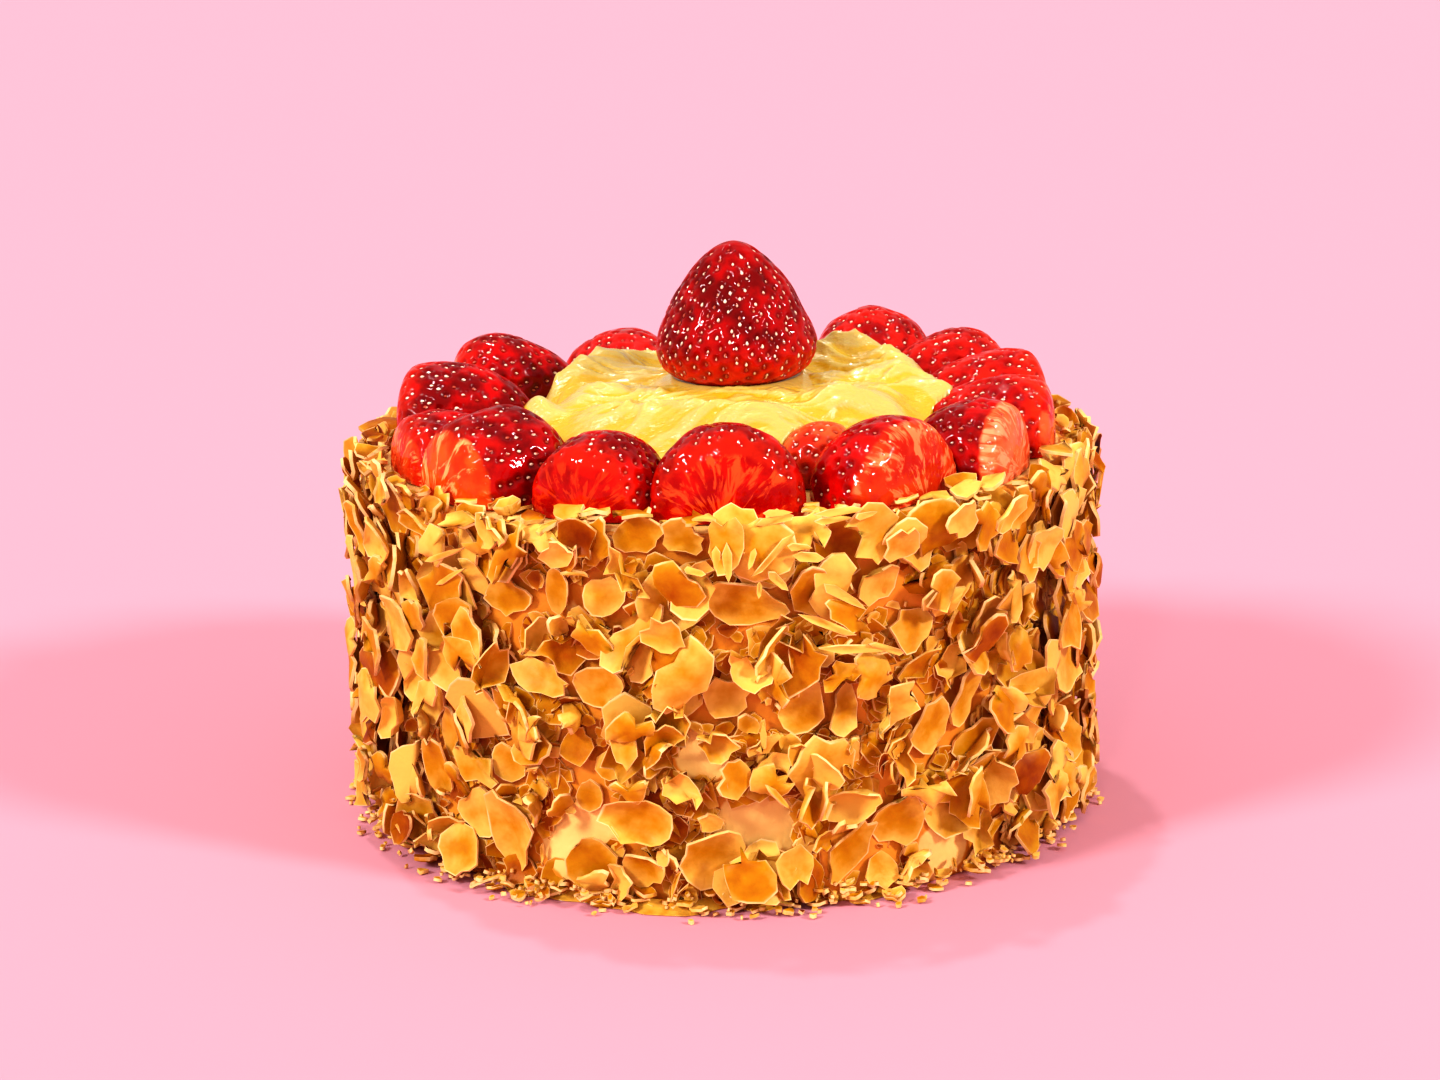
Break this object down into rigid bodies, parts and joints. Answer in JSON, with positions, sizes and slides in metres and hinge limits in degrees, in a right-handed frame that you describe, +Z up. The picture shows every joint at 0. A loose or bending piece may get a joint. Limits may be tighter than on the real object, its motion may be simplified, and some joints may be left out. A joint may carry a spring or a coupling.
{
  "type": "fruit cake",
  "caption": "Round tall cream cake coated in flaked almonds, ringed with glazed halved strawberries around custard, with a whole strawberry standing in the middle.",
  "frame": {"origin": "middle of the cake's flat underside", "axes": "+Z up, -Y towards the front of the cake, +X to the right"},
  "size_m": [0.1823, 0.1803, 0.1381],
  "materials": {
    "almond_coat": "toasted flaked almonds, dry and satin, over pale cream",
    "custard": "smooth glossy custard spread with a knife",
    "strawberry": "wet glazed strawberry skin with sunken seeds, paler streaked flesh at the trimmed end"
  },
  "bodies": {
    "root": {"cake": "almond_coat", "custard": "custard", "strawberry_centre": "strawberry", "strawberry_inner": "strawberry", "strawberry_01": "strawberry", "strawberry_02": "strawberry", "strawberry_03": "strawberry", "strawberry_04": "strawberry", "strawberry_05": "strawberry", "strawberry_06": "strawberry", "strawberry_07": "strawberry", "strawberry_08": "strawberry", "strawberry_09": "strawberry", "strawberry_10": "strawberry", "strawberry_11": "strawberry", "strawberry_12": "strawberry", "strawberry_13": "strawberry", "strawberry_14": "strawberry"}
  },
  "joints": []
}
